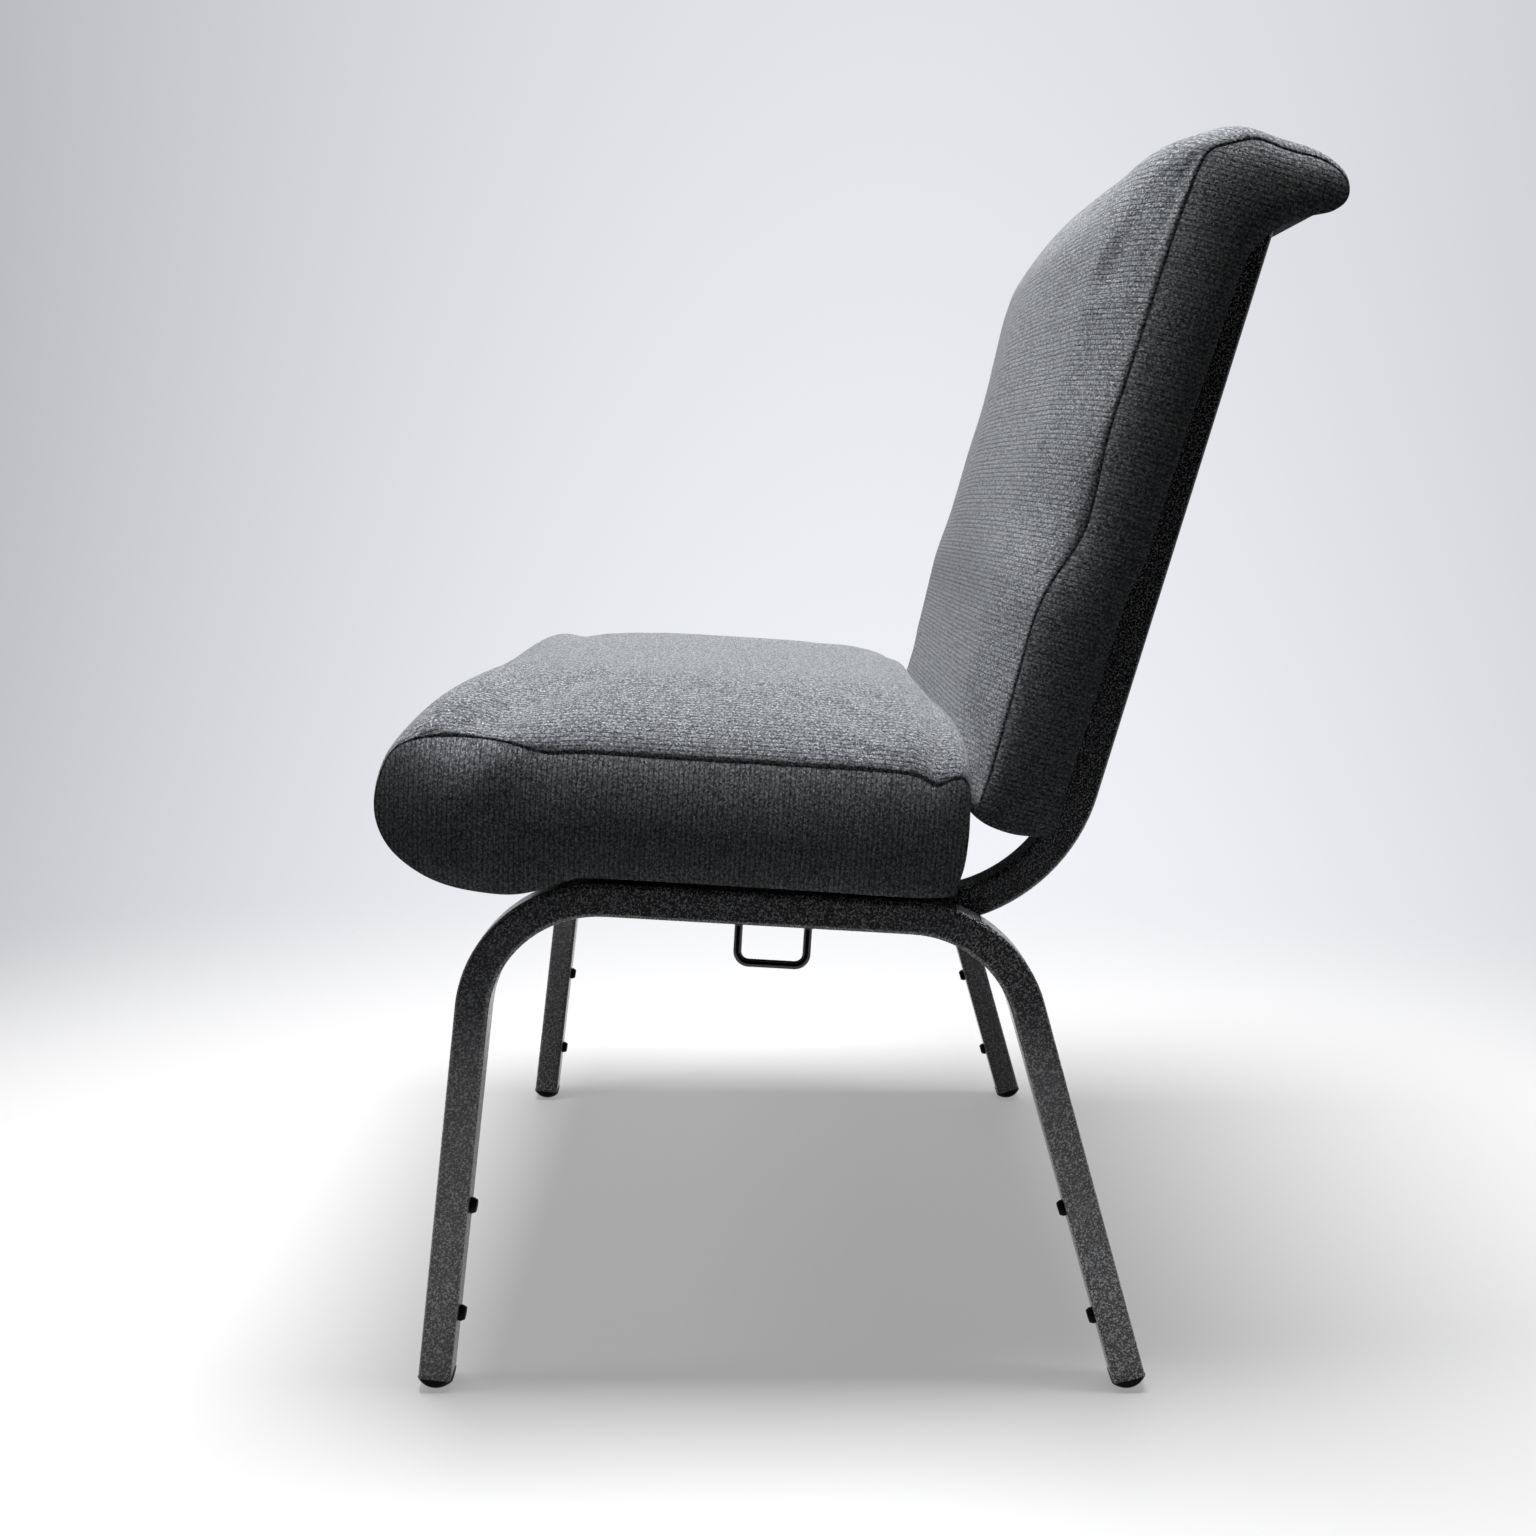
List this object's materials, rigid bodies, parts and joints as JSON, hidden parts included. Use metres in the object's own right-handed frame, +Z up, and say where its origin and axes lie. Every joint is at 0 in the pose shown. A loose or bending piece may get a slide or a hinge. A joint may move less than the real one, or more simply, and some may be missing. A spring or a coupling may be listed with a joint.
{
  "type": "stacking church chair",
  "caption": "Stacking upholstered chair on a bent square-tube frame, with a waterfall seat, a roll-top back and a hook and loop that join chairs into rows.",
  "frame": {"origin": "on the floor, midway between the outermost points across the chair and between its nose and the roll of its back", "axes": "+Z up; -Y is the chair's front; +X is the side that carries the ganging loop"},
  "size_m": [0.5512, 0.6281, 0.8599],
  "materials": {
    "frame": "speckled semi-gloss powder coat",
    "rod": "gloss powder coat",
    "plug": "moulded",
    "foot": "moulded",
    "bumper": "moulded",
    "plywood": "raw plywood",
    "upholstery": "woven melange",
    "dust_cover": "thin non-woven",
    "bolt": "black finish",
    "nut": "zinc plated"
  },
  "bodies": {
    "root": {"leg_frame_right": "frame", "leg_frame_left": "frame", "back_tube_right": "frame", "back_tube_left": "frame", "front_cross_tube": "frame", "rear_cross_tube": "frame", "top_cross_tube": "frame", "tube_end_plugs": "plug", "ganging_loop": "rod", "ganging_hook": "rod", "foot_front_right": "foot", "foot_front_left": "foot", "foot_rear_right": "foot", "foot_rear_left": "foot", "bumpers_front_right": "bumper", "bumpers_front_left": "bumper", "bumpers_rear_right": "bumper", "bumpers_rear_left": "bumper", "seat_board": "plywood", "seat_cushion": "upholstery", "dust_cover": "dust_cover", "seat_bolts": "bolt", "seat_t_nuts": "nut", "back_board": "plywood", "back_cushion": "upholstery", "rear_panel": "upholstery", "back_bolts": "bolt", "back_t_nuts": "nut"}
  },
  "joints": []
}
